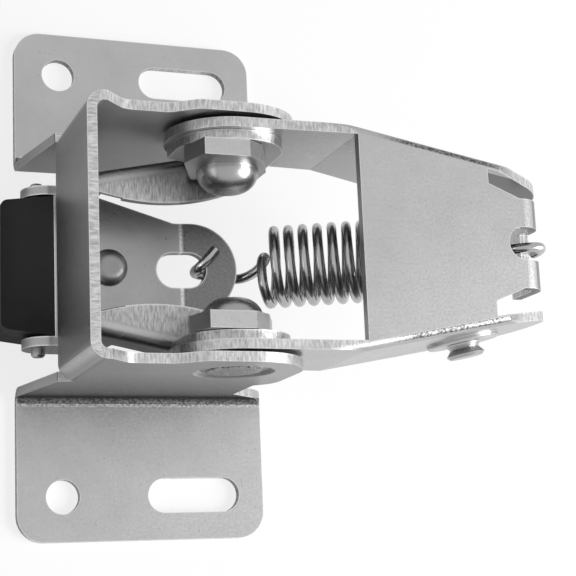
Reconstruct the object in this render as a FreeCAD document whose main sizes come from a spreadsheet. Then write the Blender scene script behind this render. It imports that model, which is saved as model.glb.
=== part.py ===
# Foot-operated screen door catch.
#
# A folded steel bracket screws to the door with its two flanges flat on the face.
# A pedal and a rubber-footed carrier both swing on the same axis through the bracket
# ears, and a tension spring between them passes over that axis to hold either state.
#
# Frame: +Z points out of the door face, +X runs from the rubber foot to the pedal end,
# and the origin is midway between the two round screw holes, on the back of the flanges.
import FreeCAD, Part
import math
import os
import re
import Sketcher

V = FreeCAD.Vector
TINY = 0.01  # millimetres that count as nothing when edges are picked
os.makedirs("parts", exist_ok=True)
doc = FreeCAD.newDocument("DoorCatch")

# Driving dimensions in millimetres
DRIVING = [
    ("sheet_gauge", 1.5, "steel of the bracket, the pedal and the foot carrier"),
    ("flange_left", 7.4, "from the screw hole line to the foot end of a flange"),
    ("flange_right", 33.9, "from the screw hole line to the pedal end of a flange"),
    ("flange_reach", 42.7, "from the middle to the outer edge of a flange"),
    ("flange_corner", 4.4, "corner radius of a flange"),
    ("hole_spacing", 71.0, "between the two round screw holes"),
    ("hole_width", 5.5, "diameter of a round screw hole"),
    ("slot_place", 21.9, "from the screw hole line to the middle of a slot"),
    ("slot_length", 15.6, "overall length of an adjusting slot"),
    ("slot_width", 5.6, "width of an adjusting slot"),
    ("cheek_span", 39.0, "over the outer faces of the bracket cheeks"),
    ("web_place", 4.4, "from the screw hole line to the outer face of the bridge"),
    ("web_deep", 19.5, "height of the edge of the bridge nearer the door"),
    ("web_near", 41.0, "height of the free edge of the bridge"),
    ("neck_dip", 2.8, "how far the cheek edge beside the bridge lies below the ear's top"),
    ("neck_end", 9.0, "where the cheek edge starts to rise to the ear"),
    ("neck_start", 2.0, "where that edge levels out beside the bridge"),
    ("bend_outer", 2.6, "outer radius of the bracket bends"),
    ("bend_inner", 1.1, "inner radius of the bracket bends"),
    ("pivot_place", 20.0, "from the screw hole line to the pivot"),
    ("pivot_height", 30.0, "from the door face to the pivot"),
    ("ear_radius", 10.3, "radius of a bracket ear"),
    ("waist_place", 27.5, "where the cheek drops to the flange under the ear"),
    ("waist_height", 17.0, "height where the ear ends and the waist starts"),
    ("waist_rise", 2.0, "how far the edge climbs from there to the ear's end"),
    ("flare_height", 7.0, "height where the cheek flares out to the flange"),
    ("dimple_radius", 6.2, "radius of the pressed dimple round a pivot"),
    ("dimple_depth", 0.5, "depth of that dimple"),
    ("dimple_slope", 1.0, "how far the dimple's wall leans in"),
    ("side_play", 0.05, "gap between the flat faces that turn on each other"),
    ("pin_radius", 3.0, "radius of a pivot rivet's shank"),
    ("pin_peen", 1.4, "how far the shank's flattened end spreads past it"),
    ("pin_bevel", 0.4, "bevel of that end"),
    ("pin_flush", 0.1, "how far that end lies below the cheek's outer face"),
    ("pin_play", 0.05, "radial gap between a shank and what turns on it"),
    ("arm_radius", 9.6, "radius of the rounded end of a pedal arm"),
    ("face_height", 40.0, "height of the pedal's face"),
    ("face_start", 37.9, "where the pedal's face starts"),
    ("fold_end", 59.7, "where the folds beside the face end"),
    ("tail_half", 13.3, "half width over the pedal cheeks where the folds end"),
    ("lobe_place", 62.5, "centre of the rounded end of a pedal cheek"),
    ("lobe_height", 28.5, "height of that centre"),
    ("lobe_radius", 9.8, "radius of the rounded end of a pedal cheek"),
    ("tab_place", 69.0, "outer face of the spring tab"),
    ("tab_half", 7.2, "half width of the spring tab"),
    ("tab_root_half", 9.4, "half width of the face where it leaves the folds"),
    ("tab_drop", 9.0, "how far the spring tab reaches down"),
    ("tab_lead", 0.6, "straight run of the tab before its bend"),
    ("tab_hole_place", 65.3, "centre of the hole's round end in the face"),
    ("tab_hole", 5.2, "diameter of the spring hole at the tab's bend"),
    ("pedal_bend", 3.4, "outer radius of the bend at the spring tab"),
    ("fold_runout", 2.0, "how far a cheek's top edge runs on past the face"),
    ("fold_outer", 1.3, "outer radius of the folds beside the pedal's face"),
    ("pedal_bend_inner", 1.9, "inner radius of the pedal's folds"),
    ("stud_place", 59.2, "from the screw hole line to a side stud"),
    ("stud_height", 28.5, "from the door face to a side stud"),
    ("stud_radius", 2.3, "radius of a side stud's neck"),
    ("stud_head", 3.1, "radius of a side stud's head"),
    ("stud_length", 3.0, "from the cheek to the end of a side stud"),
    ("stud_collar", 0.5, "how far a side stud's collar stands past its neck"),
    ("stud_foot", 0.75, "height over which the stud narrows from that collar"),
    ("stud_bevel", 0.5, "bevel of a side stud's head"),
    ("stud_peen", 0.7, "how far its flattened inner end spreads past the neck"),
    ("washer_radius", 5.8, "radius of the washer under a side stud"),
    ("washer_gauge", 0.8, "thickness of that washer"),
    ("washer_bevel", 0.25, "bevel of that washer's rim"),
    ("carrier_gap", 0.1, "slack between a carrier ear and the spacer"),
    ("carrier_lug_half", 12.9, "half width over the carrier's lugs"),
    ("lug_reach", 7.8, "from the screw hole line to the end of a lug"),
    ("lug_deep", 4.5, "height of a lug's edge nearer the door"),
    ("lug_near", 12.8, "height of a lug's free edge"),
    ("lug_back", 3.6, "pedal end of a lug"),
    ("lug_lean", 1.0, "run of the slope at that end"),
    ("lug_step", 1.7, "run of the step from a lug up to its wing"),
    ("wing_deep", 17.0, "height of a side wing's edge nearer the door"),
    ("wing_near", 23.4, "height of a side wing's free edge"),
    ("wing_start", 2.2, "where the side wings rise from the lugs"),
    ("wing_end", 28.5, "pedal end of the side wings"),
    ("wing_rise", 3.0, "run of the slope at a wing's foot end"),
    ("wing_corner", 2.0, "height of the cut corner at that slope"),
    ("wing_tail", 2.0, "run of the slope at a wing's pedal end"),
    ("wing_step", 16.6, "where a wing's rolled top ends below the pivot"),
    ("wing_clear", 0.8, "height of the neck between a wing's rolled top and its ear"),
    ("wing_flare", 2.0, "height over which the neck widens to the ear"),
    ("wing_shoulder", 1.4, "outside radius of a wing's rolled top"),
    ("lip_reach", 8.0, "from the middle to the bowed edge of a wing's lip"),
    ("lip_bow", 34.0, "radius of that bowed edge"),
    ("lip_middle", 10.5, "where the lip reaches furthest in"),
    ("carrier_ear", 8.4, "radius of a carrier ear"),
    ("tongue_height", 12.0, "height of the tongue's free face"),
    ("tongue_half", 7.8, "half width of the spring tongue"),
    ("tongue_centre", 19.2, "centre of the tongue's round end"),
    ("tongue_heel", 3.2, "from the screw hole line to the tongue's end behind the foot"),
    ("tongue_fold", 17.9, "where the tongue's end is bent up"),
    ("tongue_tilt", 13.0, "angle of that bend in degrees"),
    ("hook_slot_left", 13.5, "foot end of the spring slot"),
    ("hook_slot_right", 21.6, "pedal end of the spring slot"),
    ("hook_slot_half", 2.9, "half width of the spring slot"),
    ("foot_reach", 11.7, "from the screw hole line to the rubber's sole"),
    ("foot_half", 11.3, "half width of the rubber foot beside the lugs"),
    ("foot_sole_half", 10.2, "half width of the rubber foot at its sole"),
    ("foot_deep", 1.5, "height of the rubber foot's side nearer the door"),
    ("foot_near", 12.4, "height of the rubber foot's free side"),
    ("foot_heel", 3.4, "from the screw hole line to the back of the foot's block"),
    ("foot_corner", 1.2, "radius of the upright corners at the foot's sole"),
    ("foot_tail", 9.0, "pedal end of the rubber foot's fixing tail"),
    ("foot_tail_half", 6.3, "half width of that tail"),
    ("foot_tail_gauge", 3.0, "thickness of that tail"),
    ("foot_tail_corner", 2.1, "radius of that tail's corners"),
    ("cross_pin_place", 5.2, "from the screw hole line to the foot's cross pin"),
    ("cross_pin_height", 8.4, "height of the foot's cross pin"),
    ("cross_pin_radius", 1.1, "radius of that pin"),
    ("cross_pin_proud", 1.2, "how far the pin stands out of a lug"),
    ("cross_pin_bevel", 0.3, "bevel at the ends of that pin"),
    ("foot_rivet_place", 5.6, "from the screw hole line to the foot's rivet"),
    ("foot_rivet_head", 3.0, "radius of that rivet's head"),
    ("foot_rivet_dome", 1.7, "height of that rivet's head"),
    ("foot_rivet_shank", 1.5, "radius of that rivet's shank"),
    ("foot_rivet_peen", 0.9, "how far its flattened end spreads past the shank"),
    ("spacer_gauge", 2.6, "thickness of the flat-sided spacer under a rivet head"),
    ("spacer_half", 8.6, "from the pivot to a flat side of a spacer"),
    ("dome_radius", 4.8, "radius of a pivot rivet's round head"),
    ("dome_height", 3.4, "height of a pivot rivet's round head"),
    ("wire_radius", 0.8, "radius of the spring wire"),
    ("coil_radius", 5.95, "mean radius of the spring coil"),
    ("coil_turns", 12, "turns of the spring coil"),
    ("coil_pitch", 2.35, "length of one turn along the coil"),
    ("coil_start", 11.6, "from the tongue hook to the first turn"),
    ("hook_sweep", 2.2, "bend radius where the wire leaves the coil"),
    ("hook_lead", 0.44, "straight run between that bend and the coil"),
    ("hook_bend", 1.0, "radius of the bends in a spring hook"),
    ("hook_return", 3.8, "length of the part of a hook that turns back"),
    ("round_slack", 0.2, "what a full rounding of a sheet's end stays short of a half circle"),
    ("small_slack", 0.05, "the same on rivets and slots"),
    ("overlap", 0.2, "how far sketches that make one piece reach into each other"),
    ("cut_over", 20.0, "how far a cutting outline runs past the piece"),
]
sizes = doc.addObject("Spreadsheet::Sheet", "Sizes")
for row, (alias, number, meaning) in enumerate(DRIVING, start=1):
    sizes.set("A%d" % row, alias)
    sizes.set("B%d" % row, str(number))
    sizes.set("C%d" % row, meaning)
    sizes.setAlias("B%d" % row, alias)
doc.recompute()
ALIASES = {alias for alias, number, meaning in DRIVING}


def formula(text):
    """Point each size named in a formula at its spreadsheet cell."""
    def cell(match):
        word = match.group(0)
        return "Sizes." + word if word in ALIASES else word
    return re.sub(r"[a-z_]+", cell, str(text))


def num(text):
    """The number that a formula of sizes comes to."""
    return float(sizes.evalExpression(formula(text)))


def bind(obj, prop, text):
    obj.setExpression(prop, formula(text))


def new_body(label):
    body = doc.addObject("PartDesign::Body", label)
    body.Label = label
    return body


def sketch_on(body, role, name, height="0"):
    """An empty sketch on one of the body's origin planes, moved along its normal."""
    sketch = body.newObject("Sketcher::SketchObject", name)
    plane = [f for f in body.Origin.OriginFeatures if f.Role == role][0]
    sketch.AttachmentSupport = [(plane, "")]
    sketch.MapMode = "FlatFace"
    bind(sketch, "AttachmentOffset.Base.z", height)
    return sketch


def pin_point(sketch, geometry, end, corner):
    """Hold one point of a sketch at a place given as two formulas."""
    for kind, text in zip(("DistanceX", "DistanceY"), corner):
        rule = Sketcher.Constraint(kind, -1, 1, geometry, end, num(text))
        index = sketch.addConstraint(rule)
        bind(sketch, "Constraints[%d]" % index, text)


def polygon(sketch, corners):
    """Close a straight-sided outline through corners given as pairs of formulas."""
    first = sketch.GeometryCount
    points = [V(num(x), num(y), 0) for x, y in corners]
    count = len(points)
    for i in range(count):
        sketch.addGeometry(Part.LineSegment(points[i], points[(i + 1) % count]))
    for i in range(count):
        after = first + (i + 1) % count
        sketch.addConstraint(Sketcher.Constraint("Coincident", first + i, 2, after, 1))
        pin_point(sketch, first + i, 1, corners[i])


def circle(sketch, x, y, radius):
    centre = V(num(x), num(y), 0)
    index = sketch.addGeometry(Part.Circle(centre, V(0, 0, 1), num(radius)))
    pin_point(sketch, index, 3, (x, y))
    rule = sketch.addConstraint(Sketcher.Constraint("Radius", index, num(radius)))
    bind(sketch, "Constraints[%d]" % rule, radius)


def corner_waste(sketch, x, y, radius, right, up):
    """The metal outside a rounded corner at (x, y), as an outline to cut away.

    right and up are 1 or -1 and point from the corner into the piece."""
    cx, cy = "(%s) + %d * (%s)" % (x, right, radius), "(%s) + %d * (%s)" % (y, up, radius)
    beyond_x, beyond_y = "(%s) - %d" % (x, right), "(%s) - %d" % (y, up)
    centre = V(num(cx), num(cy), 0)
    ends = sorted([math.atan2(0, -right), math.atan2(-up, 0)])
    if ends[1] - ends[0] > math.pi:
        ends = [ends[1], ends[0] + 2 * math.pi]
    full = Part.Circle(centre, V(0, 0, 1), num(radius))
    arc = sketch.addGeometry(Part.ArcOfCircle(full, ends[0], ends[1]))
    side_first = near(sketch.getPoint(arc, 1).x, num(x))
    at_side, at_end = (1, 2) if side_first else (2, 1)
    route = [(x, cy), (beyond_x, cy), (beyond_x, beyond_y), (cx, beyond_y), (cx, y)]
    points = [V(num(a), num(b), 0) for a, b in route]
    lines = [sketch.addGeometry(Part.LineSegment(points[i], points[i + 1])) for i in range(4)]
    sketch.addConstraint(Sketcher.Constraint("Coincident", arc, at_side, lines[0], 1))
    for i in range(3):
        sketch.addConstraint(Sketcher.Constraint("Coincident", lines[i], 2, lines[i + 1], 1))
        pin_point(sketch, lines[i], 2, route[i + 1])
    sketch.addConstraint(Sketcher.Constraint("Coincident", arc, at_end, lines[3], 2))
    sketch.addConstraint(Sketcher.Constraint("Horizontal", lines[0]))
    sketch.addConstraint(Sketcher.Constraint("Vertical", lines[3]))
    pin_point(sketch, arc, 3, (cx, cy))
    rule = sketch.addConstraint(Sketcher.Constraint("Radius", arc, num(radius)))
    bind(sketch, "Constraints[%d]" % rule, radius)


def pad(body, sketch, length, both=False, back=False):
    feature = body.newObject("PartDesign::Pad", "Pad")
    feature.Profile = sketch
    bind(feature, "Length", length)
    feature.Midplane = both
    feature.Reversed = back
    doc.recompute()
    return feature


def pocket(body, sketch, length=None, both=False, up=False):
    """Cut a sketch out of the body, and insist that something was removed."""
    before = body.Shape.Volume
    feature = body.newObject("PartDesign::Pocket", "Pocket")
    feature.Profile = sketch
    if length is None:
        feature.Type = 1
    else:
        bind(feature, "Length", length)
    feature.Midplane = both
    feature.Reversed = up
    doc.recompute()
    if not feature.Shape.Volume < before:
        raise ValueError("a pocket removed nothing from " + body.Label)
    return feature


def edges_where(shape, test):
    """Names of the edges whose middle point and box pass a test."""
    names = []
    for index, edge in enumerate(shape.Edges, start=1):
        first, last = edge.ParameterRange
        if test(edge.valueAt((first + last) / 2), edge.BoundBox):
            names.append("Edge%d" % index)
    return names


def round_edges(body, test, radius):
    base = body.Tip
    names = edges_where(base.Shape, test)
    if not names:
        raise ValueError("no edge to round on " + body.Label)
    feature = body.newObject("PartDesign::Fillet", "Fillet")
    feature.Base = (base, names)
    bind(feature, "Radius", radius)
    doc.recompute()
    if "Invalid" in feature.State or "Error" in feature.State:
        raise ValueError("a rounding of %s failed on %s" % (radius, body.Label))
    return feature


def near(value, target, slack=2 * TINY):
    return abs(value - target) < slack


def upright_at(x, y):
    """Test for an edge along Z at a place in plan."""
    x, y = num(x), num(y)
    return lambda m, b: near(abs(m.y), y) and near(m.x, x) and b.XLength + b.YLength < TINY


def crosswise_at(x, z):
    """Test for an edge along Y at a place in the side view."""
    x, z = num(x), num(z)
    return lambda m, b: near(m.x, x) and near(m.z, z) and b.XLength + b.ZLength < TINY


def lengthwise_at(y, z):
    """Test for an edge along X at a place in the end view."""
    y, z = num(y), num(z)
    return lambda m, b: near(abs(m.y), y) and near(m.z, z) and b.YLength + b.ZLength < TINY


def turned(label, profile, side=1):
    """A round piece about a line along Y through the origin of its own sketch."""
    body = new_body(label)
    sketch = sketch_on(body, "XY_Plane", label + "_profile")
    polygon(sketch, [(x, "%d * (%s)" % (side, y)) for x, y in profile])
    feature = body.newObject("PartDesign::Revolution", "Revolution")
    feature.Profile = sketch
    feature.ReferenceAxis = (sketch, ["V_Axis"])
    feature.Angle = 360
    doc.recompute()
    return body


def put(body, x="0", y="0", z="0"):
    for axis, text in zip("xyz", (x, y, z)):
        bind(body, "Placement.Base." + axis, text)


# Formulas that several pieces share
CHEEK_OUT = "(cheek_span / 2)"
CHEEK_IN = "(cheek_span / 2 - sheet_gauge)"
ARM_OUT = "(cheek_span / 2 - sheet_gauge - dimple_depth - side_play)"
ARM_IN = "(cheek_span / 2 - 2 * sheet_gauge - dimple_depth - side_play)"
EAR_OUT = "(cheek_span / 2 - 2 * sheet_gauge - dimple_depth - 2 * side_play)"
EAR_IN = "(cheek_span / 2 - 3 * sheet_gauge - dimple_depth - 2 * side_play)"
SPACER_OUT = "(cheek_span / 2 - 3 * sheet_gauge - dimple_depth - 2 * side_play - carrier_gap)"
SPACER_IN = "(" + SPACER_OUT + " - spacer_gauge)"
FAR = "(flange_reach + cut_over)"
LUG_IN = "(carrier_lug_half - sheet_gauge)"
LUG_END = "(-lug_reach - cut_over)"
EAR_FOOT = "(wing_near + wing_clear)"
SPLAY = "((" + EAR_IN + " - " + LUG_IN + ") / (wing_step - wing_start))"
LIP_ROOT = "(" + LUG_IN + " + " + SPLAY + " * wing_rise + sheet_gauge / 2)"
LIP_END = "(" + EAR_IN + " + sheet_gauge / 2)"
NECK = "(pivot_height + ear_radius - neck_dip)"
FAR_X = "(tab_place + cut_over)"
FOLD_FAR = "(fold_end + fold_runout)"
TAPER = "((" + ARM_OUT + " - tail_half) / (fold_end - face_start))"
SKEW_GAUGE = "(sheet_gauge * sqrt(1 + " + TAPER + " ^ 2))"


def cheek_out(x):
    """Half width over the tapering pedal cheeks at a place along the pedal."""
    return "(%s - %s * (%s - face_start))" % (ARM_OUT, TAPER, x)


def cheek_in(x):
    return "(%s - %s)" % (cheek_out(x), SKEW_GAUGE)


def bracket():
    body = new_body("bracket")
    side = sketch_on(body, "XZ_Plane", "cheek_outline")
    ear_end = "pivot_place + ear_radius"
    ear_top = "pivot_height + ear_radius"
    polygon(side, [
        ("-web_place", "web_near"),
        ("-web_place + sheet_gauge * 2", "web_near"),
        ("neck_start", NECK),
        ("neck_end", NECK),
        ("pivot_place - ear_radius * 0.7", ear_top),
        (ear_end, ear_top),
        (ear_end, "waist_height + waist_rise"),
        ("waist_place", "waist_height"),
        ("waist_place", "flare_height"),
        ("flange_right", "sheet_gauge"),
        ("flange_right", "0"),
        ("-flange_left", "0"),
        ("-flange_left", "sheet_gauge * 2"),
        ("-web_place", "web_deep"),
    ])
    pad(body, side, "cheek_span", both=True)
    round_edges(body, crosswise_at(ear_end, ear_top), "ear_radius - round_slack")
    round_edges(body, crosswise_at(ear_end, "waist_height + waist_rise"), "ear_radius * 0.5")
    for place, height in (("neck_end", NECK), ("neck_start", NECK),
                          ("pivot_place - ear_radius * 0.7", ear_top)):
        round_edges(body, crosswise_at(place, height), "sheet_gauge * 2")
    inside = sketch_on(body, "XY_Plane", "between_cheeks")
    polygon(inside, [
        ("-web_place + sheet_gauge", "-" + CHEEK_IN),
        ("flange_right + cut_over", "-" + CHEEK_IN),
        ("flange_right + cut_over", CHEEK_IN),
        ("-web_place + sheet_gauge", CHEEK_IN),
    ])
    pocket(body, inside, both=True)
    under = sketch_on(body, "YZ_Plane", "under_web")
    polygon(under, [
        ("-" + CHEEK_IN, "-sheet_gauge"), (CHEEK_IN, "-sheet_gauge"),
        (CHEEK_IN, "web_deep"), ("-" + CHEEK_IN, "web_deep"),
    ])
    pocket(body, under, both=True)
    corners = sketch_on(body, "XY_Plane", "bridge_corners", "web_deep")
    corner_waste(corners, "-web_place", CHEEK_OUT, "bend_outer", 1, -1)
    corner_waste(corners, "-web_place", "-" + CHEEK_OUT, "bend_outer", 1, 1)
    pocket(body, corners, "web_near", up=True)
    round_edges(body, upright_at("-web_place + sheet_gauge", CHEEK_IN), "bend_inner")
    for hand in ("", "-"):
        plan = sketch_on(body, "XY_Plane", "flange_outline")
        polygon(plan, [
            ("-flange_left", hand + CHEEK_IN), ("flange_right", hand + CHEEK_IN),
            ("flange_right", hand + "flange_reach"), ("-flange_left", hand + "flange_reach"),
        ])
        pad(body, plan, "sheet_gauge")
    round_edges(body, upright_at("flange_right", "flange_reach"), "flange_corner")
    round_edges(body, upright_at("-flange_left", "flange_reach"), "flange_corner")
    round_edges(body, lengthwise_at(CHEEK_IN, "0"), "bend_outer")
    root = num(CHEEK_OUT)
    gauge = num("sheet_gauge")
    ear = num("ear_radius")
    round_edges(body, lambda m, b: near(abs(m.y), root) and near(m.z, gauge)
                and b.ZLength < TINY and b.XLength > ear, "bend_inner")
    holes = sketch_on(body, "XY_Plane", "screw_holes")
    slot_half = "(slot_length - slot_width) / 2"
    for hand in ("", "-"):
        row = hand + "hole_spacing / 2"
        circle(holes, "0", row, "hole_width / 2")
    pocket(body, holes, both=True)
    slots = sketch_on(body, "XY_Plane", "slot_middles")
    for hand in ("", "-"):
        row = hand + "hole_spacing / 2"
        polygon(slots, [
            ("slot_place - " + slot_half, row + " - slot_width / 2"),
            ("slot_place + " + slot_half, row + " - slot_width / 2"),
            ("slot_place + " + slot_half, row + " + slot_width / 2"),
            ("slot_place - " + slot_half, row + " + slot_width / 2"),
        ])
    pocket(body, slots, both=True)
    ends = sketch_on(body, "XY_Plane", "slot_ends")
    for hand in ("", "-"):
        row = hand + "hole_spacing / 2"
        circle(ends, "slot_place - " + slot_half, row, "slot_width / 2")
        circle(ends, "slot_place + " + slot_half, row, "slot_width / 2")
    pocket(body, ends, both=True)
    dimple(body)
    bore = sketch_on(body, "XZ_Plane", "pivot_bores")
    circle(bore, "pivot_place", "pivot_height", "pin_radius")
    pocket(body, bore, both=True)
    return body


def dimple(body):
    """Press the metal round each pivot inwards: a hollow outside, a boss inside."""
    for hand, turn in ((1, 90), (-1, -90)):
        for kind, face in (("PartDesign::AdditiveCone", CHEEK_IN),
                           ("PartDesign::SubtractiveCone", CHEEK_OUT)):
            cone = body.newObject(kind, "Dimple")
            plane = [f for f in body.Origin.OriginFeatures if f.Role == "XY_Plane"][0]
            cone.AttachmentSupport = [(plane, "")]
            cone.MapMode = "FlatFace"
            cone.AttachmentOffset = FreeCAD.Placement(
                V(0, 0, 0), FreeCAD.Rotation(V(1, 0, 0), turn))
            bind(cone, "AttachmentOffset.Base.x", "pivot_place")
            bind(cone, "AttachmentOffset.Base.y", "%d * %s" % (hand, face))
            bind(cone, "AttachmentOffset.Base.z", "pivot_height")
            bind(cone, "Radius1", "dimple_radius")
            bind(cone, "Radius2", "dimple_radius - dimple_slope")
            bind(cone, "Height", "dimple_depth")
            doc.recompute()


def pedal():
    body = new_body("pedal")
    side = sketch_on(body, "XZ_Plane", "pedal_side")
    left = "pivot_place - arm_radius"
    right = "lobe_place + lobe_radius"
    deep = "lobe_height - lobe_radius"
    crown = "lobe_height + lobe_radius * 0.6"
    polygon(side, [
        (left, "pivot_height - arm_radius"),
        ("pivot_place + arm_radius", "pivot_height - arm_radius"),
        ("lobe_place - lobe_radius", deep),
        (right, deep),
        (right, crown),
        (FOLD_FAR, "face_height"),
        ("face_start", "face_height"),
        ("pivot_place + arm_radius * 0.5", "pivot_height + arm_radius"),
        (left, "pivot_height + arm_radius"),
    ])
    pad(body, side, "2 * " + ARM_OUT, both=True)
    round_edges(body, crosswise_at(left, "pivot_height + arm_radius"), "arm_radius - round_slack")
    round_edges(body, crosswise_at(left, "pivot_height - arm_radius"), "arm_radius - round_slack")
    round_edges(body, crosswise_at(right, deep), "lobe_radius - 2 * round_slack")
    round_edges(body, crosswise_at(right, crown), "lobe_radius * 0.75")
    outside = sketch_on(body, "XY_Plane", "beside_pedal")
    for hand in ("", "-"):
        polygon(outside, [
            ("face_start", hand + ARM_OUT), (FAR_X, hand + cheek_out(FAR_X)),
            (FAR_X, hand + FAR),
            ("face_start", hand + FAR),
        ])
    pocket(body, outside, both=True)
    arms = sketch_on(body, "XY_Plane", "between_arms")
    polygon(arms, [
        ("-cut_over", "-" + ARM_IN), ("face_start", "-" + ARM_IN),
        ("face_start", ARM_IN), ("-cut_over", ARM_IN),
    ])
    pocket(body, arms, both=True)
    hollow = sketch_on(body, "XY_Plane", "pedal_hollow")
    polygon(hollow, [
        ("face_start - sheet_gauge", "-" + ARM_IN), ("face_start", "-" + cheek_in("face_start")),
        (FAR_X, "-" + cheek_in(FAR_X)), (FAR_X, cheek_in(FAR_X)),
        ("face_start", cheek_in("face_start")), ("face_start - sheet_gauge", ARM_IN),
    ])
    pocket(body, hollow, "face_height - sheet_gauge", up=True)
    open_end = sketch_on(body, "XY_Plane", "pedal_open_end")
    polygon(open_end, [
        ("fold_end", "-" + cheek_in("fold_end")), (FAR_X, "-" + cheek_in(FAR_X)),
        (FAR_X, cheek_in(FAR_X)), ("fold_end", cheek_in("fold_end")),
    ])
    pocket(body, open_end, both=True)
    sheet_low = "face_height - sheet_gauge"
    bend_start = "tab_place - pedal_bend - tab_lead"
    tongue = sketch_on(body, "XY_Plane", "tab_outline", sheet_low)
    polygon(tongue, [
        ("fold_end - sheet_gauge", "-tab_root_half"), ("fold_end", "-tab_root_half"),
        (bend_start, "-tab_half"), ("tab_place", "-tab_half"),
        ("tab_place", "tab_half"), (bend_start, "tab_half"),
        ("fold_end", "tab_root_half"), ("fold_end - sheet_gauge", "tab_root_half"),
    ])
    pad(body, tongue, "sheet_gauge")
    tab = sketch_on(body, "YZ_Plane", "tab_face", "tab_place - sheet_gauge")
    polygon(tab, [
        ("-tab_half", "face_height"), ("-tab_half", "face_height - tab_drop"),
        ("tab_half", "face_height - tab_drop"), ("tab_half", "face_height"),
    ])
    pad(body, tab, "sheet_gauge")
    round_edges(body, crosswise_at("tab_place", "face_height"), "pedal_bend")
    round_edges(body, crosswise_at("tab_place - sheet_gauge", sheet_low), "pedal_bend_inner")
    top = num("face_height")
    start = num("face_start")
    end = num("fold_end")
    tail = num("tail_half - fold_outer")
    slack = num("2 * fold_runout")
    round_edges(body, lambda m, b: near(m.z, top) and b.ZLength < TINY and abs(m.y) > tail
                and near(b.XLength, end - start, slack) and m.x > start, "fold_outer")
    hole = sketch_on(body, "XY_Plane", "spring_hole", "face_height - tab_hole")
    circle(hole, "tab_hole_place", "0", "tab_hole / 2")
    pocket(body, hole, "tab_hole * 2", up=True)
    notch = sketch_on(body, "XY_Plane", "spring_notch", "face_height - tab_hole")
    polygon(notch, [
        ("tab_hole_place", "-tab_hole / 2"), ("tab_place + sheet_gauge", "-tab_hole / 2"),
        ("tab_place + sheet_gauge", "tab_hole / 2"), ("tab_hole_place", "tab_hole / 2"),
    ])
    pocket(body, notch, "tab_hole * 2", up=True)
    bores = sketch_on(body, "XZ_Plane", "pedal_bores")
    circle(bores, "pivot_place", "pivot_height", "pin_radius + pin_play")
    pocket(body, bores, both=True)
    for side in (1, -1):
        skew_bore(body, side)
    return body


def skew_angle():
    return math.degrees(math.atan(num(TAPER)))


def skew_bore(body, side):
    """A stud hole square to the tapering cheek."""
    drill = body.newObject("PartDesign::SubtractiveCylinder", "StudBore")
    plane = [f for f in body.Origin.OriginFeatures if f.Role == "XY_Plane"][0]
    drill.AttachmentSupport = [(plane, "")]
    drill.MapMode = "FlatFace"
    square = FreeCAD.Rotation(V(1, 0, 0), 90 * side)
    lean = FreeCAD.Rotation(V(0, 0, 1), -side * skew_angle())
    drill.AttachmentOffset = FreeCAD.Placement(V(0, 0, 0), lean * square)
    bind(drill, "AttachmentOffset.Base.x", "stud_place")
    bind(drill, "AttachmentOffset.Base.y", "%d * %s" % (side, cheek_out("stud_place")))
    bind(drill, "AttachmentOffset.Base.z", "stud_height")
    bind(drill, "Radius", "stud_radius")
    bind(drill, "Height", "sheet_gauge * 2")
    before = body.Shape.Volume
    doc.recompute()
    if not drill.Shape.Volume < before:
        raise ValueError("a stud hole removed nothing")


def shape_wings(body):
    """Below the ears the side walls splay outwards from the lugs; inside, metal is cut away."""
    high = EAR_FOOT
    for hand in ("", "-"):
        outside = sketch_on(body, "XY_Plane", "beside_wing", high)
        polygon(outside, [
            (LUG_END, hand + "carrier_lug_half"), ("wing_start", hand + "carrier_lug_half"),
            ("wing_step", hand + EAR_OUT), ("wing_step", hand + FAR), (LUG_END, hand + FAR),
        ])
        pocket(body, outside)
    inside = sketch_on(body, "XY_Plane", "between_wings", high)
    polygon(inside, [
        (LUG_END, "-" + LUG_IN), ("wing_start", "-" + LUG_IN),
        ("wing_step", "-" + EAR_IN), ("wing_end + cut_over", "-" + EAR_IN),
        ("wing_end + cut_over", EAR_IN), ("wing_step", EAR_IN),
        ("wing_start", LUG_IN), (LUG_END, LUG_IN),
    ])
    pocket(body, inside)
    ears = sketch_on(body, "XY_Plane", "between_ears", high)
    polygon(ears, [
        (LUG_END, "-" + EAR_IN), ("wing_end + cut_over", "-" + EAR_IN),
        ("wing_end + cut_over", EAR_IN), (LUG_END, EAR_IN),
    ])
    pocket(body, ears, up=True)


def wing_lips(body):
    """Each wing is rolled inwards along its top: a round shoulder and a bowed flat lip."""
    low = "wing_near - sheet_gauge"
    for hand in ("", "-"):
        lip = sketch_on(body, "XY_Plane", "wing_lip", low)
        polygon(lip, [
            ("wing_start + wing_rise", hand + "(lip_reach - sheet_gauge)"),
            ("wing_end - wing_tail", hand + "(lip_reach - sheet_gauge)"),
            ("wing_end - wing_tail", hand + LIP_END),
            ("wing_step", hand + LIP_END),
            ("wing_start + wing_rise", hand + LIP_ROOT),
        ])
        pad(body, lip, "sheet_gauge")
        waste = sketch_on(body, "XY_Plane", "lip_bow", "wing_near")
        middle = hand + "(lip_reach + lip_bow)"
        polygon(waste, [
            ("lip_middle - 2 * lip_bow", "0"), ("lip_middle + 2 * lip_bow", "0"),
            ("lip_middle + 2 * lip_bow", hand + "3 * lip_bow"),
            ("lip_middle - 2 * lip_bow", hand + "3 * lip_bow"),
        ])
        circle(waste, "lip_middle", middle, "lip_bow")
        pocket(body, waste, "sheet_gauge")
    top = num("wing_near")
    inner = num("carrier_lug_half - overlap")
    limit = num("wing_step")
    least = num("wing_rise")
    round_edges(body, lambda m, b: near(m.z, top) and b.ZLength < TINY and abs(m.y) > inner
                and m.x < limit and b.XLength > least and b.YLength > TINY, "wing_shoulder")


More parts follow.
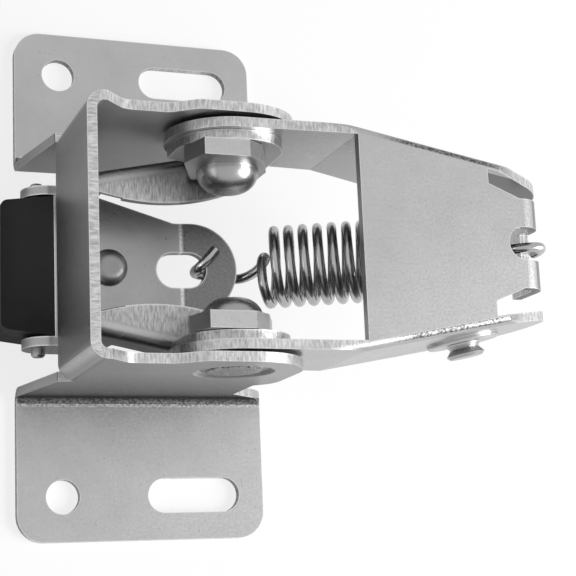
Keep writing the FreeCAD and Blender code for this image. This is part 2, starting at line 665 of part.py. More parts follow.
def tongue(body):
    """A flat plate between the wings; its round end is bent up from a fold line."""
    low = "tongue_height - sheet_gauge"
    wall = LUG_IN + " + overlap"
    plate = sketch_on(body, "XY_Plane", "tongue_plate", low)
    polygon(plate, [
        ("-tongue_heel", "-(" + wall + ")"), ("lug_back", "-(" + wall + ")"),
        ("tongue_fold - sheet_gauge", "-tongue_half"), ("tongue_fold", "-tongue_half"),
        ("tongue_fold", "tongue_half"), ("tongue_fold - sheet_gauge", "tongue_half"),
        ("lug_back", wall), ("-tongue_heel", wall),
    ])
    pad(body, plate, "sheet_gauge")
    for part in ("strip", "round"):
        bent = sketch_on(body, "XY_Plane", "tongue_" + part, low)
        bent.AttachmentOffset = FreeCAD.Placement(
            V(0, 0, 0), FreeCAD.Rotation(V(0, 1, 0), -num("tongue_tilt")))
        bind(bent, "AttachmentOffset.Base.x", "tongue_fold")
        bind(bent, "AttachmentOffset.Base.z", low)
        bind(bent, "AttachmentOffset.Rotation.Angle", "-tongue_tilt")
        if part == "strip":
            polygon(bent, [
                ("0", "-tongue_half"), ("tongue_centre - tongue_fold", "-tongue_half"),
                ("tongue_centre - tongue_fold", "tongue_half"), ("0", "tongue_half"),
            ])
        else:
            circle(bent, "tongue_centre - tongue_fold", "0", "tongue_half")
        pad(body, bent, "sheet_gauge")


def carrier():
    body = new_body("foot_carrier")
    ear = "carrier_ear"
    side = sketch_on(body, "XZ_Plane", "carrier_side")
    polygon(side, [
        ("-lug_reach", "lug_deep"), ("-lug_reach", "lug_near"),
        ("wing_start - lug_step", "lug_near"), ("wing_start", "wing_near - wing_corner"),
        ("wing_start + wing_rise", "wing_near"), ("wing_step", "wing_near"),
        ("wing_step", EAR_FOOT), ("pivot_place - " + ear, EAR_FOOT + " + wing_flare"),
        ("pivot_place - " + ear, "pivot_height + " + ear),
        ("pivot_place + " + ear, "pivot_height + " + ear),
        ("wing_end", "wing_near"), ("wing_end - wing_tail", "wing_deep"),
        ("lug_back + lug_lean", "wing_deep"), ("lug_back", "lug_deep"),
    ])
    pad(body, side, "2 * " + EAR_OUT, both=True)
    high = "pivot_height + " + ear
    for place in ("pivot_place - " + ear, "pivot_place + " + ear):
        round_edges(body, crosswise_at(place, high), ear + " - 3 * round_slack")
    for height in ("lug_deep", "lug_near"):
        round_edges(body, crosswise_at("-lug_reach", height), "(lug_near - lug_deep - round_slack) / 2")
    shape_wings(body)
    wing_lips(body)
    tongue(body)
    slot = sketch_on(body, "XY_Plane", "hook_slot")
    polygon(slot, [
        ("hook_slot_left", "-hook_slot_half"), ("hook_slot_right", "-hook_slot_half"),
        ("hook_slot_right", "hook_slot_half"), ("hook_slot_left", "hook_slot_half"),
    ])
    pocket(body, slot, both=True)
    for place in ("hook_slot_left", "hook_slot_right"):
        round_edges(body, upright_at(place, "hook_slot_half"), "hook_slot_half - small_slack")
    rivet = sketch_on(body, "XY_Plane", "rivet_hole")
    circle(rivet, "foot_rivet_place", "0", "foot_rivet_shank")
    pocket(body, rivet, both=True)
    bores = sketch_on(body, "XZ_Plane", "carrier_bores")
    circle(bores, "pivot_place", "pivot_height", "pin_radius + pin_play")
    circle(bores, "-cross_pin_place", "cross_pin_height", "cross_pin_radius")
    pocket(body, bores, both=True)
    return body


def rubber_foot():
    body = new_body("rubber_foot")
    block = sketch_on(body, "XY_Plane", "foot_outline", "foot_deep")
    heel = "-foot_heel"
    polygon(block, [
        ("-foot_reach", "-foot_sole_half"), (heel, "-foot_half"),
        (heel, "foot_half"), ("-foot_reach", "foot_sole_half"),
    ])
    pad(body, block, "foot_near - foot_deep")
    round_edges(body, upright_at("-foot_reach", "foot_sole_half"), "foot_corner")
    tail_top = "tongue_height - sheet_gauge"
    tail = sketch_on(body, "XY_Plane", "foot_tail_outline", tail_top + " - foot_tail_gauge")
    polygon(tail, [
        ("-foot_heel - overlap", "-foot_tail_half"), ("foot_tail", "-foot_tail_half"),
        ("foot_tail", "foot_tail_half"), ("-foot_heel - overlap", "foot_tail_half"),
    ])
    pad(body, tail, "foot_tail_gauge")
    round_edges(body, upright_at("foot_tail", "foot_tail_half"), "foot_tail_corner")
    rivet = sketch_on(body, "XY_Plane", "foot_rivet_hole")
    circle(rivet, "foot_rivet_place", "0", "foot_rivet_shank")
    pocket(body, rivet, both=True)
    pin = sketch_on(body, "XZ_Plane", "foot_pin_hole")
    circle(pin, "-cross_pin_place", "cross_pin_height", "cross_pin_radius")
    pocket(body, pin, both=True)
    return body


def foot_pin():
    half = "(carrier_lug_half + cross_pin_proud)"
    body = turned("foot_cross_pin", [
        ("0", "-" + half), ("cross_pin_radius - cross_pin_bevel", "-" + half),
        ("cross_pin_radius", "-" + half + " + cross_pin_bevel"),
        ("cross_pin_radius", half + " - cross_pin_bevel"),
        ("cross_pin_radius - cross_pin_bevel", half), ("0", half),
    ])
    put(body, "-cross_pin_place", "0", "cross_pin_height")
    return body


def foot_rivet():
    """Round head on the plate, shank through plate and tail, and a peened end below."""
    body = new_body("foot_rivet")
    sketch = sketch_on(body, "XZ_Plane", "foot_rivet_profile")
    under = "-sheet_gauge - foot_tail_gauge"
    polygon(sketch, [
        ("0", "foot_rivet_dome"), ("foot_rivet_head", "foot_rivet_dome"),
        ("foot_rivet_head", "0"), ("foot_rivet_shank", "0"), ("foot_rivet_shank", under),
        ("foot_rivet_shank + foot_rivet_peen", under),
        ("foot_rivet_shank + foot_rivet_peen / 2", under + " - foot_rivet_peen"),
        ("0", under + " - foot_rivet_peen"),
    ])
    feature = body.newObject("PartDesign::Revolution", "Revolution")
    feature.Profile = sketch
    feature.ReferenceAxis = (sketch, ["V_Axis"])
    feature.Angle = 360
    doc.recompute()
    top = num("foot_rivet_dome")
    round_edges(body, lambda m, b: near(m.z, top) and b.ZLength < TINY,
                "foot_rivet_dome - small_slack")
    put(body, "foot_rivet_place", "0", "tongue_height")
    return body


def pivot_rivet(label, side):
    """Shank through ear, arm, carrier and spacer, peened outside, round head inside."""
    outer = CHEEK_OUT + " - pin_flush"
    seat = CHEEK_OUT + " - dimple_depth"
    head = SPACER_IN
    body = turned(label, [
        ("0", outer), ("pin_radius + pin_peen - pin_bevel", outer), ("pin_radius + pin_peen", seat),
        ("pin_radius", seat), ("pin_radius", head), ("dome_radius", head),
        ("dome_radius", head + " - dome_height"), ("0", head + " - dome_height"),
    ], side)
    low = num(head + " - dome_height")
    round_edges(body, lambda m, b: near(abs(m.y), low) and b.YLength < TINY,
                "dome_height - small_slack")
    put(body, "pivot_place", "0", "pivot_height")
    return body


def pivot_spacer(label, side):
    """A plate with flat sides and cut corners, between the carrier and the rivet head."""
    body = new_body(label)
    lift = SPACER_IN if side < 0 else "-" + SPACER_OUT
    sketch = sketch_on(body, "XZ_Plane", label + "_outline", lift)
    shares = [(-0.9, 0.35), (-0.72, 1), (0.1, 1), (0.42, 0.75),
              (0.7, 0.1), (0.7, -0.45), (-0.5, -0.62)]
    polygon(sketch, [("spacer_half * %s" % x, "spacer_half * %s" % z) for x, z in shares])
    pad(body, sketch, "spacer_gauge")
    bore = sketch_on(body, "XZ_Plane", label + "_bore")
    circle(bore, "0", "0", "pin_radius")
    pocket(body, bore, both=True)
    put(body, "pivot_place", "0", "pivot_height")
    return body


def on_cheek(body, side):
    """Stand a turned piece square on the outside of a tapering pedal cheek."""
    body.Placement = FreeCAD.Placement(
        V(0, 0, 0), FreeCAD.Rotation(V(0, 0, 1), -side * skew_angle()))
    put(body, "stud_place", "%d * %s" % (side, cheek_out("stud_place")), "stud_height")
    return body


def side_washer(label, side):
    body = turned(label, [
        ("stud_radius", "0"), ("washer_radius", "0"),
        ("washer_radius", "washer_gauge - washer_bevel"),
        ("washer_radius - washer_bevel", "washer_gauge"),
        ("stud_radius", "washer_gauge"),
    ], side)
    return on_cheek(body, side)


def side_stud(label, side):
    inner = "-sheet_gauge - stud_peen"
    body = turned(label, [
        ("0", inner), ("stud_radius + stud_peen / 2", inner),
        ("stud_radius + stud_peen", "-sheet_gauge"), ("stud_radius", "-sheet_gauge"),
        ("stud_radius", "washer_gauge"), ("stud_radius + stud_collar", "washer_gauge"),
        ("stud_radius", "washer_gauge + stud_foot"), ("stud_head", "stud_length - stud_bevel"),
        ("stud_head - stud_bevel", "stud_length"), ("0", "stud_length"),
    ], side)
    return on_cheek(body, side)


def wire_run(start, corners, end):
    """Edges along straight runs; each corner is a point and its arc's radius."""
    stops = [start] + [place for place, bend in corners] + [end]
    edges = []
    previous = start
    for i, (corner, bend) in enumerate(corners, start=1):
        before = (stops[i - 1] - corner).normalize()
        after = (stops[i + 1] - corner).normalize()
        half = before.getAngle(after) / 2
        setback = bend / math.tan(half)
        first = corner + before * setback
        last = corner + after * setback
        middle = corner + (before + after).normalize() * (bend / math.sin(half) - bend)
        edges.append(Part.LineSegment(previous, first).toShape())
        edges.append(Part.Arc(first, middle, last).toShape())
        previous = last
    edges.append(Part.LineSegment(previous, end).toShape())
    return edges


def spring():
    """Tension spring: one wire from the hook in the tongue, round the coil, to the tab."""
    radius = num("wire_radius")
    play = num("side_play") * 2
    tongue_low = num("tongue_height - sheet_gauge")
    tongue_top = num("tongue_height")
    hook_x = num("hook_slot_right") - radius - play
    anchor = V(hook_x, 0, (tongue_low + tongue_top) / 2)
    notch = num("face_height - tab_hole")
    rest = V(num("tab_place") + radius + play, 0, notch + radius + play)
    along = (rest - anchor).normalize()
    across = V(0, 1, 0).cross(along)
    coil = num("coil_radius")
    pitch = num("coil_pitch")
    start = num("coil_start")
    stop = start + pitch * num("coil_turns")

    def wound(quarters):
        """A point on the coil after so many quarter turns from its foot end."""
        angle = math.pi / 2 * (quarters - 1)
        middle = anchor + along * (start + pitch * quarters / 4)
        return middle + across * (coil * math.cos(angle)) + V(0, coil * math.sin(angle), 0)

    turns = [Part.Arc(wound(i), wound(i + 0.5), wound(i + 1)).toShape()
             for i in range(4 * int(num("coil_turns")))]
    lean = pitch / (2 * math.pi * coil)
    leaving = (across + along * lean).normalize()

    def at(distance, side=0.0):
        return anchor + along * distance + V(0, side, 0)

    bend = num("hook_bend")
    sweep = num("hook_sweep")
    lead = num("hook_lead")
    slope = math.tan(math.radians(num("tongue_tilt")))
    fold = num("tongue_fold")
    above = tongue_top + radius + play * 2
    under = tongue_low - radius - play * 2
    tip = num("tongue_centre + tongue_half")
    back = num("hook_return")
    first = wire_run(
        V(hook_x + back, 0, under),
        [(V(hook_x, 0, under), bend), (V(hook_x, 0, above + (hook_x - fold) * slope), bend),
         (V(tip + radius, 0, above + (tip - fold) * slope), sweep),
         (at(start - radius) - across * lead, sweep),
         (at(start, -coil) - leaving * (sweep + lead), sweep)],
        at(start, -coil))
    second = wire_run(
        at(stop, -coil),
        [(at(stop, -coil) + leaving * (sweep + lead), sweep),
         (at(stop + radius) + across * lead, sweep),
         (V(num("tab_hole_place"), 0, rest.z), bend), (rest, bend)],
        V(rest.x, 0, rest.z - back))
    path = Part.Wire(first + turns + second)
    ring = Part.Wire(Part.Circle(V(hook_x + back, 0, under), V(-1, 0, 0), radius).toShape())
    whole = path.makePipeShell([ring], True, False)
    node = doc.addObject("Part::Feature", "spring")
    node.Label = "spring"
    node.Shape = whole
    return node


bracket()
pedal()
carrier()
spring()
rubber_foot()
foot_pin()
foot_rivet()
for hand, side in (("upper", 1), ("lower", -1)):
    pivot_rivet("pivot_rivet_" + hand, side)
    pivot_spacer("pivot_spacer_" + hand, side)
    side_washer("stud_washer_" + hand, side)
    side_stud("side_stud_" + hand, side)
doc.recompute()

kept = [o for o in doc.Objects if o.TypeId in ("PartDesign::Body", "Part::Feature")]
for item in doc.Objects:
    if "Invalid" in item.State or "Error" in item.State:
        raise ValueError("failed: " + item.Name)
for item in kept:
    if item.Shape.isNull() or not item.Shape.isValid():
        raise ValueError("bad shape: " + item.Label)
for item in kept:
    item.Shape.exportStep("parts/" + item.Label + ".step")
    print(item.Label, len(item.Shape.Solids), round(item.Shape.Volume, 1), item.Shape.BoundBox)
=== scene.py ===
# %% [markdown]
# # A foot-operated door catch
# The catch is a bent steel bracket that is screwed to a door. A sprung pedal and a carrier
# with a rubber foot turn on one pair of rivets between its cheeks. Most shapes come from
# the CAD frame, so this lesson is about light, camera and, above all, finishes. Only the
# spring and the rolled edges of the carrier's wings are made here.

import math

import bmesh
import bpy
from mathutils import Matrix, Vector


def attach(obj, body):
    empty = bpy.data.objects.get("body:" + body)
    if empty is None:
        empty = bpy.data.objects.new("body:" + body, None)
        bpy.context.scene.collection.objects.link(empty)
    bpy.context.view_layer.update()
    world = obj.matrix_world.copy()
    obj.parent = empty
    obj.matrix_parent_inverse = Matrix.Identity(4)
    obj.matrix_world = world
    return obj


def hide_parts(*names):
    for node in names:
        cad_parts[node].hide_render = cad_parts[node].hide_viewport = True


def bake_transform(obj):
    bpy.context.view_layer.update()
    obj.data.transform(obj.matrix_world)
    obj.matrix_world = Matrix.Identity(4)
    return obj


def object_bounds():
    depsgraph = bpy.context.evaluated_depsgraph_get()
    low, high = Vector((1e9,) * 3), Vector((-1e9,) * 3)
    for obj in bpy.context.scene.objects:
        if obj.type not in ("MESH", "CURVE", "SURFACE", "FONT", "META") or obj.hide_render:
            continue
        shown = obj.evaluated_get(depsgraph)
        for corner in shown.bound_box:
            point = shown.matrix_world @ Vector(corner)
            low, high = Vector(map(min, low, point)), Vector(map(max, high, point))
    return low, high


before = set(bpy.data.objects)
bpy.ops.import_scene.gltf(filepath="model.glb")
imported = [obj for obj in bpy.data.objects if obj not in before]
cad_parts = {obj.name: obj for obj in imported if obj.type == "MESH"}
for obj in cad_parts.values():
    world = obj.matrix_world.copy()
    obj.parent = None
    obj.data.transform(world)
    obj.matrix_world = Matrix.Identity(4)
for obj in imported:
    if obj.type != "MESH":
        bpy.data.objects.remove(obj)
cad_low, cad_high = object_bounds()
print("nodes:", ", ".join(sorted(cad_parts)))
print("CAD box in mm:", [round(1000 * v, 1) for v in (*cad_low, *cad_high)])

# %% [markdown]
# ## Camera
# The photograph is taken from above the rubber foot and from close by, so near edges
# spread and the left walls of the bracket show. A lens shift could keep the picture
# square, but it would push the catch out of every other view. A camera that is aimed and
# turned gives nearly the same picture and works from all sides.

# %% Camera
MM = 0.001
camera_place = Vector((-52.2, -53.2, 243.8)) * MM
camera_aim = Vector((40.6, 0.3, 0.0)) * MM
camera_up = Vector((-0.03, 0.98, 0.20))
focal_length = 95.1

camera_data = bpy.data.cameras.new("product_camera")
camera_data.lens = focal_length
camera_data.sensor_width = 36
camera_data.clip_start = 0.01
camera_data.clip_end = 50
camera = bpy.data.objects.new("product_camera", camera_data)
bpy.context.scene.collection.objects.link(camera)
aim = (camera_aim - camera_place).normalized()
right = aim.cross(camera_up).normalized()
turn = Matrix((right, right.cross(aim), -aim)).transposed()
camera.rotation_mode = "QUATERNION"
camera.rotation_quaternion = turn.to_quaternion()
camera.location = camera_place
bpy.context.scene.camera = camera
print("camera stands", round((camera_aim - camera_place).length * 1000), "mm from its aim")

# %% [markdown]
# ## Studio floor
# The catch lies on a sheet of pale paper. The photograph has been cut out on white, so the
# paper has to look white and still show the shadow of the catch. A plain white emission
# is mixed in, mostly for the rays that the camera sees, so it hardly lights the steel.

# %% Floor sheet
def new_object(name, bm, smooth=True):
    """A mesh object at the origin from a finished bmesh."""
    for face in bm.faces:
        face.smooth = smooth
    mesh = bpy.data.meshes.new(name)
    bm.to_mesh(mesh)
    bm.free()
    piece = bpy.data.objects.new(name, mesh)
    bpy.context.scene.collection.objects.link(piece)
    return piece


floor_half = 6.0
floor_drop = 0.05 * MM
bm = bmesh.new()
bmesh.ops.create_grid(bm, x_segments=1, y_segments=1, size=floor_half,
                      matrix=Matrix.Translation((0, 0, -floor_drop)))
floor = new_object("studio_floor", bm, smooth=False)
print("floor is", 2 * floor_half, "m wide")


# %% Floor paper
def math_node(tree, operation, first, second=None, clamp=False):
    """A Math node. Each operand is a socket or a number."""
    node = tree.nodes.new("ShaderNodeMath")
    node.operation = operation
    node.use_clamp = clamp
    for socket, value in zip(node.inputs, (first, second)):
        if value is None:
            continue
        if isinstance(value, (int, float)):
            socket.default_value = value
        else:
            tree.links.new(value, socket)
    return node.outputs["Value"]


seen_lift, mirrored_lift = 0.8, 0.2
floor_paper = bpy.data.materials.new("floor_paper")
floor_paper.use_nodes = True
sheet = floor_paper.node_tree
paper = sheet.nodes["Principled BSDF"]
paper.inputs["Base Color"].default_value = (0.96, 0.96, 0.96, 1)
paper.inputs["Roughness"].default_value = 0.9
paper.inputs["Specular IOR Level"].default_value = 0.1
rays = sheet.nodes.new("ShaderNodeLightPath").outputs
seen = math_node(sheet, "ADD", rays["Is Camera Ray"], rays["Is Transmission Ray"])
lift = math_node(sheet, "ADD", math_node(sheet, "MULTIPLY", seen, seen_lift),
                 math_node(sheet, "MULTIPLY", rays["Is Glossy Ray"], mirrored_lift))
white = sheet.nodes.new("ShaderNodeEmission")
lifted = sheet.nodes.new("ShaderNodeMixShader")
sheet.links.new(lift, lifted.inputs["Fac"])
sheet.links.new(paper.outputs["BSDF"], lifted.inputs[1])
sheet.links.new(white.outputs["Emission"], lifted.inputs[2])
sheet.links.new(lifted.outputs["Shader"], sheet.nodes["Material Output"].inputs["Surface"])
floor.data.materials.append(floor_paper)
print("paper has", len(sheet.nodes), "nodes")

# %% [markdown]
# ## Light
# Plated steel shows what stands round it. One wide softbox above and to the right lights
# the flat faces, and the walls that look left stay dark, because they mirror the part of
# the floor that lies in the catch's own shade. The room is white to the camera and in
# mirrors, and dim for everything else, so that it doesn't wash the shadows out.

# %% Lamp
def softbox(name, place, size, watts):
    """A square area lamp that faces the middle of the catch."""
    data = bpy.data.lights.new(name, "AREA")
    data.shape = "SQUARE"
    data.size = size
    data.energy = watts
    lamp = bpy.data.objects.new(name, data)
    lamp.location = place
    middle = (cad_low + cad_high) / 2
    lamp.rotation_mode = "QUATERNION"
    lamp.rotation_quaternion = (middle - lamp.location).to_track_quat("-Z", "Y")
    bpy.context.scene.collection.objects.link(lamp)
    return lamp


key = softbox("key_softbox", place=(0.75, -0.25, 0.5), size=0.6, watts=13.0)
print(key.name, "stands", round(key.location.length, 2), "m away")

# %% Room
room_light, room_white = 0.22, 1.0
world = bpy.data.worlds.new("pale_room")
world.use_nodes = True
bpy.context.scene.world = world
room = world.node_tree
background = room.nodes["Background"]
background.inputs["Color"].default_value = (1, 1, 1, 1)
rays = room.nodes.new("ShaderNodeLightPath").outputs
seen = math_node(room, "MAXIMUM", rays["Is Camera Ray"], rays["Is Glossy Ray"])
seen = math_node(room, "MAXIMUM", seen, rays["Is Transmission Ray"])
level = room.nodes.new("ShaderNodeMapRange")
level.inputs["To Min"].default_value = room_light
level.inputs["To Max"].default_value = room_white
room.links.new(seen, level.inputs["Value"])
room.links.new(level.outputs["Result"], background.inputs["Strength"])
bpy.context.scene.view_settings.view_transform = "Standard"
print("room gives", room_light, "of its white as light")

# %% [markdown]
# ## Shared effects
# Four effects come back in the steel finishes: a fine blotchy grain from the plating bath,
# a bright line on the edges, which is partly rubbed wear and partly a painted highlight,
# stripes on the narrow edges where the sheet was punched, and long faint lines from the
# mill. Each is a node group, so that one change reaches all the finishes. They read Object
# coordinates, so a pattern stays on its piece when the piece swings.

# %% Node helpers
def node_group(name, inputs, outputs):
    """An empty shader node group with named sockets, and its input and output nodes."""
    group = bpy.data.node_groups.new(name, "ShaderNodeTree")
    for title, kind, value in inputs:
        socket = group.interface.new_socket(name=title, in_out="INPUT", socket_type=kind)
        socket.default_value = value
    for title, kind in outputs:
        group.interface.new_socket(name=title, in_out="OUTPUT", socket_type=kind)
    return group, group.nodes.new("NodeGroupInput"), group.nodes.new("NodeGroupOutput")


def noise(tree, source, scale, detail=4, roughness=0.6):
    """A noise texture on the given coordinates. The scale is a socket or a number."""
    texture = tree.nodes.new("ShaderNodeTexNoise")
    texture.inputs["Detail"].default_value = detail
    texture.inputs["Roughness"].default_value = roughness
    tree.links.new(source, texture.inputs["Vector"])
    if isinstance(scale, (int, float)):
        texture.inputs["Scale"].default_value = scale
    else:
        tree.links.new(scale, texture.inputs["Scale"])
    return texture.outputs["Fac"]


def vector_node(tree, operation, first, second=None):
    """A Vector Math node on one or two sockets."""
    node = tree.nodes.new("ShaderNodeVectorMath")
    node.operation = operation
    tree.links.new(first, node.inputs[0])
    if second is not None:
        tree.links.new(second, node.inputs[1])
    return node


def ramp(tree, value, low, high, to_low, to_high):
    """Maps a value's range to another, clamped at both ends."""
    node = tree.nodes.new("ShaderNodeMapRange")
    tree.links.new(value, node.inputs["Value"])
    for title, number in (("From Min", low), ("From Max", high),
                          ("To Min", to_low), ("To Max", to_high)):
        node.inputs[title].default_value = number
    return node.outputs["Result"]


print("node helpers are ready")

# %% Plating grain group
plating, plating_in, plating_out = node_group(
    "plating_grain",
    [("Coarse", "NodeSocketFloat", 220.0), ("Fine", "NodeSocketFloat", 2600.0)],
    [("Blotches", "NodeSocketFloat"), ("Grain", "NodeSocketFloat")],
)
place = plating.nodes.new("ShaderNodeTexCoord").outputs["Object"]
for size, result in (("Coarse", "Blotches"), ("Fine", "Grain")):
    plating.links.new(noise(plating, place, plating_in.outputs[size]), plating_out.inputs[result])
print("group", plating.name, "with", len(plating.nodes), "nodes")

# %% Edge wear and painted highlight group
# A bevelled normal differs from the true one only near a sharp edge.
wear_and_highlight_gain = 5.0
wear_and_highlight, wear_and_highlight_in, wear_and_highlight_out = node_group(
    "edge_wear_and_highlight",
    [("Width", "NodeSocketFloat", 0.5 * MM), ("Amount", "NodeSocketFloat", 1.0)],
    [("Mask", "NodeSocketFloat")],
)
rounded = wear_and_highlight.nodes.new("ShaderNodeBevel")
rounded.samples = 6
wear_and_highlight.links.new(wear_and_highlight_in.outputs["Width"], rounded.inputs["Radius"])
true_shape = wear_and_highlight.nodes.new("ShaderNodeNewGeometry")
same = vector_node(wear_and_highlight, "DOT_PRODUCT", rounded.outputs["Normal"], true_shape.outputs["Normal"])
turned = math_node(wear_and_highlight, "SUBTRACT", 1.0, same.outputs["Value"], clamp=True)
sharp = math_node(wear_and_highlight, "MULTIPLY", turned, wear_and_highlight_gain, clamp=True)
amount = math_node(wear_and_highlight, "MULTIPLY", sharp, wear_and_highlight_in.outputs["Amount"], clamp=True)
wear_and_highlight.links.new(amount, wear_and_highlight_out.inputs["Mask"])
print("group", wear_and_highlight.name, "with", len(wear_and_highlight.nodes), "nodes")

# %% Sheared edge group
# The sheet's own direction tells a narrow edge from a broad face. The stripes run across
# the sheet, because the noise is stretched that way.
stripe_stretch = 0.8
shear, shear_in, shear_out = node_group(
    "sheared_edge",
    [("Sheet Direction", "NodeSocketVector", (0.0, 1.0, 0.0)),
     ("Scale", "NodeSocketFloat", 3200.0)],
    [("Mask", "NodeSocketFloat"), ("Streaks", "NodeSocketFloat")],
)
place = shear.nodes.new("ShaderNodeTexCoord")
sheet_direction = shear_in.outputs["Sheet Direction"]
facing = vector_node(shear, "DOT_PRODUCT", place.outputs["Normal"], sheet_direction)
facing = math_node(shear, "ABSOLUTE", facing.outputs["Value"])
shear.links.new(ramp(shear, facing, 0.25, 0.5, 1.0, 0.0), shear_out.inputs["Mask"])
along = vector_node(shear, "PROJECT", place.outputs["Object"], sheet_direction)
shorter = vector_node(shear, "SCALE", along.outputs["Vector"])
shorter.inputs["Scale"].default_value = stripe_stretch
across = vector_node(shear, "SUBTRACT", place.outputs["Object"], shorter.outputs["Vector"])
stripes = noise(shear, across.outputs["Vector"], shear_in.outputs["Scale"], detail=3)
shear.links.new(ramp(shear, stripes, 0.36, 0.64, 0.0, 1.0), shear_out.inputs["Streaks"])
print("group", shear.name, "with", len(shear.nodes), "nodes")

# %% Mill lines group
speck_scale = 2400.0
mill, mill_in, mill_out = node_group(
    "mill_lines",
    [("Stretch", "NodeSocketVector", (0.04, 1.0, 1.0)), ("Scale", "NodeSocketFloat", 1300.0)],
    [("Lines", "NodeSocketFloat"), ("Specks", "NodeSocketFloat")],
)
place = mill.nodes.new("ShaderNodeTexCoord").outputs["Object"]
squeeze = vector_node(mill, "MULTIPLY", place, mill_in.outputs["Stretch"])
lines = noise(mill, squeeze.outputs["Vector"], mill_in.outputs["Scale"], detail=3, roughness=0.7)
mill.links.new(lines, mill_out.inputs["Lines"])
spots = noise(mill, place, speck_scale, detail=2, roughness=0.5)
mill.links.new(ramp(mill, spots, 0.68, 0.74, 0.0, 1.0), mill_out.inputs["Specks"])
print("group", mill.name, "with", len(mill.nodes), "nodes")

# %% [markdown]
# ## Steel finishes
# All the sheet parts are zinc-plated mild steel, so one helper builds the finish and each
# piece gets its own tone, roughness and direction of lines. Some places need a tone of their
# own, such as a fold or the floor of a dimple, and many of these tones are painted shade
# and painted highlights. They are given by limits on the piece's own coordinates, which
# holds at every pose and from every side.

# %% Helpers for a finish
def group_node(tree, group, **values):
    """One use of a node group, with its own numbers."""
    node = tree.nodes.new("ShaderNodeGroup")
    node.node_tree = group
    for title, value in values.items():
        node.inputs[title].default_value = value
    return node


def mix_colour(tree, factor, dark, light):
    """Blends two colours by a socket. Each colour is a socket or a grey number."""
    node = tree.nodes.new("ShaderNodeMix")
    node.data_type = "RGBA"
    tree.links.new(factor, node.inputs["Factor"])
    for name, value in (("A", dark), ("B", light)):
        socket = next(s for s in node.inputs if s.name == name and s.type == "RGBA")
        if isinstance(value, (int, float)):
            socket.default_value = (value, value, value, 1)
        else:
            tree.links.new(value, socket)
    return next(s for s in node.outputs if s.type == "RGBA")


def inside(tree, *limits, hard=0.01):
    """1 within all the limits and 0 outside them.

    A limit is a direction, a low and a high place along it in mm, and if wanted the width of
    a soft border. Both halves of the catch are alike, so Y counts outwards from the middle."""
    place = tree.nodes.new("ShaderNodeTexCoord")
    split = tree.nodes.new("ShaderNodeSeparateXYZ")
    tree.links.new(place.outputs["Object"], split.inputs["Vector"])
    halved = tree.nodes.new("ShaderNodeCombineXYZ")
    tree.links.new(split.outputs["X"], halved.inputs["X"])
    tree.links.new(math_node(tree, "ABSOLUTE", split.outputs["Y"]), halved.inputs["Y"])
    tree.links.new(split.outputs["Z"], halved.inputs["Z"])
    mask = 1.0
    for direction, low, high, *border in limits:
        soft = border[0] if border else hard
        reach = vector_node(tree, "DOT_PRODUCT", halved.outputs["Vector"])
        reach.inputs[1].default_value = direction
        for edge, outside in ((low, low - soft), (high, high + soft)):
            step = ramp(tree, reach.outputs["Value"], outside * MM, edge * MM, 0, 1)
            mask = math_node(tree, "MULTIPLY", step, mask)
    return mask


def bump(tree, shader, height, strength):
    """Lets a height tilt the light on a shader, over a tenth of a millimetre."""
    relief = tree.nodes.new("ShaderNodeBump")
    relief.inputs["Strength"].default_value = strength
    relief.inputs["Distance"].default_value = 0.1 * MM
    tree.links.new(height, relief.inputs["Height"])
    tree.links.new(relief.outputs["Normal"], shader.inputs["Normal"])


print("finish helpers are ready")

# %% Places with a tone of their own
brightest = 0.95
patch_relief, stripe_relief = 12, 2.5
stripe_dark, stripe_light = 0.85, 1.5


def add_patches(tree, grain, tone, colour, height, patches):
    """Each patch is a factor on the tone, a mottle and limits. Gives new colour and height."""
    for factor, mottle, *limits in patches:
        here = inside(tree, *limits)
        mottled = mix_colour(tree, ramp(tree, grain, 0.42, 0.58, 0, 1),
                             tone * factor * (1 - mottle),
                             min(brightest, tone * factor * (1 + mottle)))
        colour = mix_colour(tree, here, colour, mottled)
        pits = math_node(tree, "MULTIPLY", math_node(tree, "MULTIPLY", here, grain),
                         patch_relief * mottle)
        height = math_node(tree, "ADD", height, pits)
    return colour, height


def add_edges(tree, tone, colour, height, edges):
    """Each edge is the sheet's direction and limits. Gives new colour and height."""
    for direction, *limits in edges:
        cut = group_node(tree, shear)
        cut.inputs["Sheet Direction"].default_value = direction
        here = math_node(tree, "MULTIPLY", cut.outputs["Mask"], inside(tree, *limits))
        striped = mix_colour(tree, cut.outputs["Streaks"], tone * stripe_dark,
                             min(brightest, tone * stripe_light))
        colour = mix_colour(tree, here, colour, striped)
        grooves = math_node(tree, "MULTIPLY",
                            math_node(tree, "MULTIPLY", here, cut.outputs["Streaks"]),
                            stripe_relief)
        height = math_node(tree, "ADD", height, grooves)
    return colour, height


print("stripes go from", stripe_dark, "to", stripe_light, "of the tone")

# %% Plated steel
blotch_spread = 0.05
speck_share, speck_tone = 0.4, 0.45


